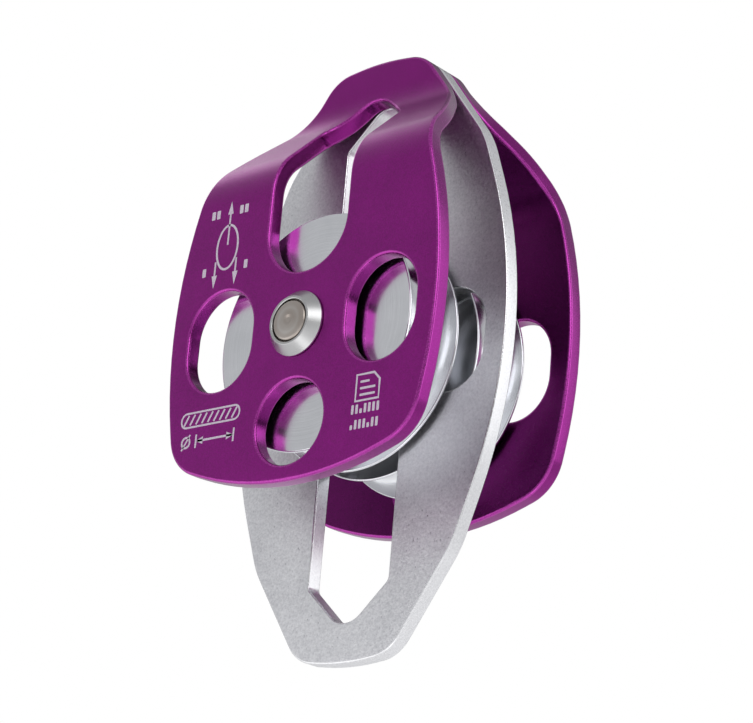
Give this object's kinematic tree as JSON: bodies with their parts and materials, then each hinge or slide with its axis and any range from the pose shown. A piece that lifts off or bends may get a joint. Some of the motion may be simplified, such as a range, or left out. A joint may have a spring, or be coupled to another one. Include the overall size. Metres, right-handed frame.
{
  "type": "rope pulley",
  "caption": "Double rope pulley: a flat centre plate with a carabiner eye and a becket window, joggled swing cheeks, and wide grooved sheaves on sealed ball bearings.",
  "frame": {"origin": "the axle's centre, in the middle of the centre plate's thickness", "axes": "+Z towards the carabiner eye, +Y along the axle towards the back cheek, +X to the right seen from the front cheek"},
  "size_m": [0.0802, 0.0588, 0.145],
  "materials": {
    "purple_anodised": "satin purple anodised aluminium with a fine grain and bright edges",
    "blasted_aluminium": "bead-blasted natural aluminium with a fine sparkle",
    "machined_aluminium": "turned aluminium with fine machining lines",
    "turned_steel": "turned steel with concentric lines",
    "bearing_steel": "ground and polished bearing steel",
    "cage_nylon": "natural nylon",
    "seal_rubber": "matt black rubber"
  },
  "bodies": {
    "frame": {"centre_plate": "blasted_aluminium", "axle_pin": "turned_steel", "front_collar": "turned_steel", "front_plate_washer": "bearing_steel", "front_race_spacer": "bearing_steel", "front_thrust_washer": "bearing_steel", "front_inner_bearing_inner_race": "bearing_steel", "front_outer_bearing_inner_race": "bearing_steel", "back_collar": "turned_steel", "back_plate_washer": "bearing_steel", "back_race_spacer": "bearing_steel", "back_thrust_washer": "bearing_steel", "back_inner_bearing_inner_race": "bearing_steel", "back_outer_bearing_inner_race": "bearing_steel"},
    "front_cheek": {"front_cheek": "purple_anodised"},
    "front_inner_bearing_ball_set": {"front_inner_bearing_balls": "bearing_steel", "front_inner_bearing_cage": "cage_nylon"},
    "front_outer_bearing_ball_set": {"front_outer_bearing_balls": "bearing_steel", "front_outer_bearing_cage": "cage_nylon"},
    "front_sheave": {"front_sheave": "machined_aluminium", "front_inner_bearing_outer_race": "bearing_steel", "front_inner_bearing_seals": "seal_rubber", "front_outer_bearing_outer_race": "bearing_steel", "front_outer_bearing_seals": "seal_rubber"},
    "back_cheek": {"back_cheek": "purple_anodised"},
    "back_inner_bearing_ball_set": {"back_inner_bearing_balls": "bearing_steel", "back_inner_bearing_cage": "cage_nylon"},
    "back_outer_bearing_ball_set": {"back_outer_bearing_balls": "bearing_steel", "back_outer_bearing_cage": "cage_nylon"},
    "back_sheave": {"back_sheave": "machined_aluminium", "back_inner_bearing_outer_race": "bearing_steel", "back_inner_bearing_seals": "seal_rubber", "back_outer_bearing_outer_race": "bearing_steel", "back_outer_bearing_seals": "seal_rubber"}
  },
  "joints": [
    {"name": "front_cheek_swing", "type": "hinge", "parent": "frame", "child": "front_cheek", "pos_m": [0, 0, 0], "axis": [0, 1, 0], "continuous": true},
    {"name": "front_sheave_spin", "type": "hinge", "parent": "frame", "child": "front_sheave", "pos_m": [0, 0, 0], "axis": [0, 1, 0], "continuous": true},
    {"name": "front_inner_bearing_orbit", "type": "hinge", "parent": "frame", "child": "front_inner_bearing_ball_set", "pos_m": [0, 0, 0], "axis": [0, 1, 0], "continuous": true},
    {"name": "front_outer_bearing_orbit", "type": "hinge", "parent": "frame", "child": "front_outer_bearing_ball_set", "pos_m": [0, 0, 0], "axis": [0, 1, 0], "continuous": true},
    {"name": "back_cheek_swing", "type": "hinge", "parent": "frame", "child": "back_cheek", "pos_m": [0, 0, 0], "axis": [0, 1, 0], "continuous": true},
    {"name": "back_sheave_spin", "type": "hinge", "parent": "frame", "child": "back_sheave", "pos_m": [0, 0, 0], "axis": [0, 1, 0], "continuous": true},
    {"name": "back_inner_bearing_orbit", "type": "hinge", "parent": "frame", "child": "back_inner_bearing_ball_set", "pos_m": [0, 0, 0], "axis": [0, 1, 0], "continuous": true},
    {"name": "back_outer_bearing_orbit", "type": "hinge", "parent": "frame", "child": "back_outer_bearing_ball_set", "pos_m": [0, 0, 0], "axis": [0, 1, 0], "continuous": true}
  ],
  "couplings": [
    {"joint": "front_inner_bearing_orbit", "follows": "front_sheave_spin", "ratio": 0.5992},
    {"joint": "front_outer_bearing_orbit", "follows": "front_sheave_spin", "ratio": 0.5992},
    {"joint": "back_inner_bearing_orbit", "follows": "back_sheave_spin", "ratio": 0.5992},
    {"joint": "back_outer_bearing_orbit", "follows": "back_sheave_spin", "ratio": 0.5992}
  ]
}
